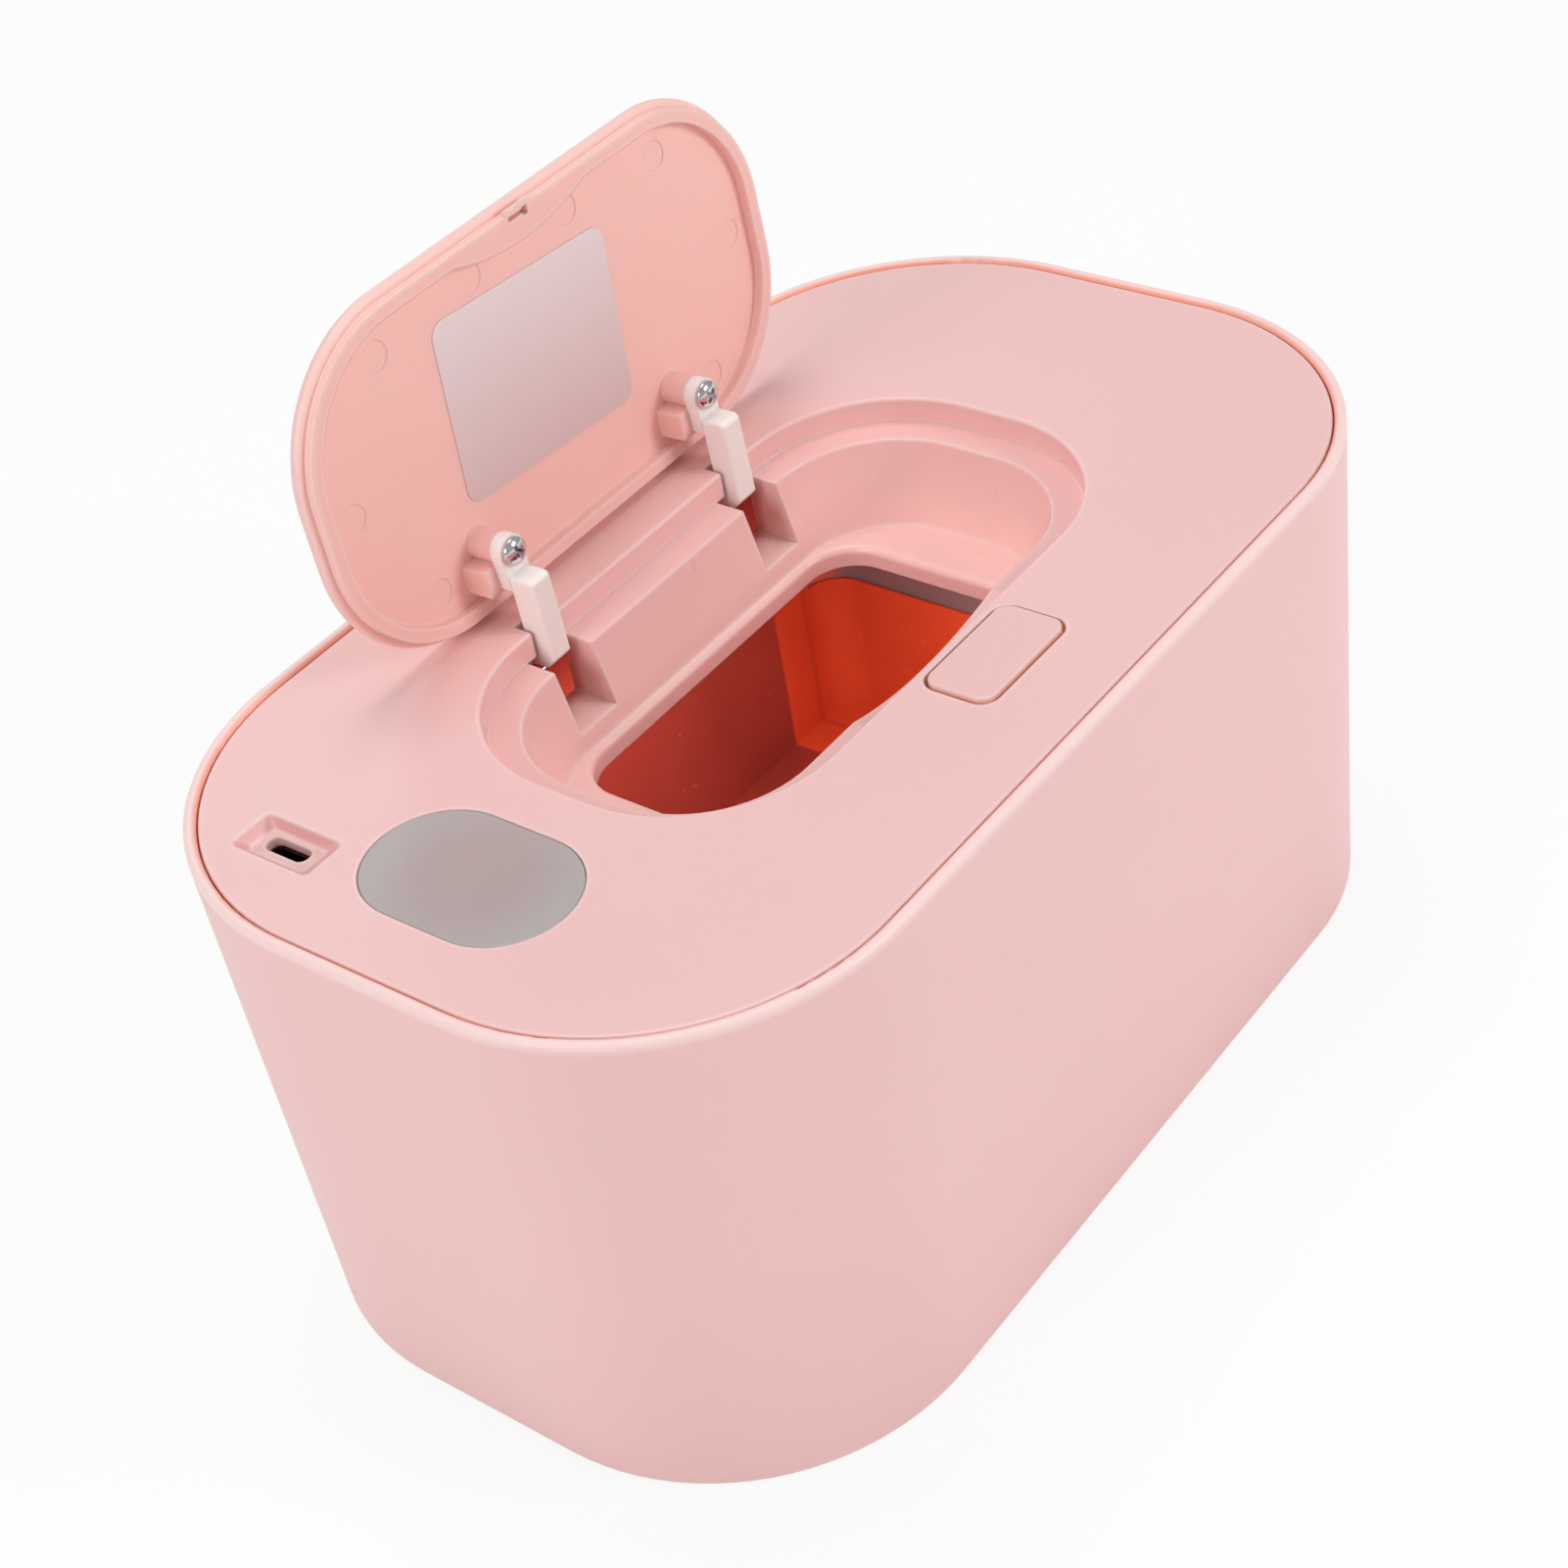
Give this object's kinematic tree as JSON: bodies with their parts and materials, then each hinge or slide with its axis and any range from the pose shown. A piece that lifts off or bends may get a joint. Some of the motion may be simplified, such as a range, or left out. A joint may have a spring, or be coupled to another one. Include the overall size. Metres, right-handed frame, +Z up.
{
  "type": "baby wipe warmer",
  "caption": "Rounded table-top wipe warmer: a flush lid on gooseneck arms, a push-button latch, a display window, a charging socket and a heated tank under a bowl-shaped mouth.",
  "frame": {"origin": "middle of the footprint, on the surface that the feet stand on", "axes": "+X along the body away from the display, +Y towards the hinge, +Z up; stored with the lid open"},
  "size_m": [0.2234, 0.1338, 0.1686],
  "materials": {
    "body_pink": "fine matt",
    "panel_pink": "fine matt",
    "base_pink": "fine matt",
    "foot_rubber": "matt",
    "steel_screw": "bright",
    "tank_white": "satin",
    "film_red": "satin film",
    "foam_white": "closed-cell foam",
    "sensor_black": "satin",
    "fuse_white": "satin",
    "lead_red": "satin",
    "board_green": "satin",
    "display_dark": "glossy",
    "window_grey": "glossy, slightly see-through",
    "socket_black": "satin black",
    "inner_white": "satin",
    "steel_pin": "bright",
    "spring_steel": "bright",
    "lid_salmon": "satin",
    "label_grey": "satin film",
    "arm_milky": "milky",
    "chrome_screw": "bright",
    "button_pink": "satin",
    "latch_white": "satin"
  },
  "bodies": {
    "base": {"outer_shell": "body_pink", "top_panel": "panel_pink", "base_plate": "base_pink", "rubber_feet": "foot_rubber", "base_screws": "steel_screw", "panel_screws": "steel_screw", "liner_tank": "tank_white", "tank_screws": "steel_screw", "heating_film": "film_red", "insulation_sleeve": "foam_white", "temperature_sensor": "sensor_black", "thermal_fuse": "fuse_white", "heater_leads": "lead_red", "power_leads": "lead_red", "control_board": "board_green", "display_module": "display_dark", "display_window": "window_grey", "usb_socket": "socket_black", "usb_board": "board_green", "board_screws": "steel_screw", "latch_bracket": "inner_white", "bracket_screws": "steel_screw", "hinge_pin_left": "steel_pin", "hinge_pin_right": "steel_pin", "hinge_spring_left": "spring_steel", "hinge_spring_right": "spring_steel", "button_spring": "spring_steel", "latch_spring": "spring_steel"},
    "lid_body": {"lid": "lid_salmon", "lid_label": "label_grey", "hinge_arm_left": "arm_milky", "hinge_arm_right": "arm_milky", "arm_screws": "chrome_screw"},
    "button_body": {"release_button": "button_pink"},
    "latch_body": {"latch_slider": "latch_white"}
  },
  "joints": [
    {"name": "lid_hinge", "type": "hinge", "parent": "base", "child": "lid_body", "pos_m": [0, 0.0396, 0.0969], "axis": [1, 0, 0], "range_deg": [0, 93.4], "stiffness_Nm_per_rad": 0.01, "springref_deg": -34.38, "deforming": ["hinge_spring_left", "hinge_spring_right"]},
    {"name": "button_press", "type": "slide", "parent": "base", "child": "button_body", "axis": [0, 0, -1], "range_m": [0, 0.0016], "stiffness_N_per_m": 400, "springref_m": -0.002, "deforming": ["button_spring"]},
    {"name": "latch_slide", "type": "slide", "parent": "base", "child": "latch_body", "axis": [0, -1, 0], "range_m": [0, 0.001], "stiffness_N_per_m": 300, "springref_m": -0.001, "deforming": ["latch_spring"]}
  ],
  "couplings": [
    {"joint": "latch_slide", "follows": "button_press", "ratio": 0.625}
  ]
}
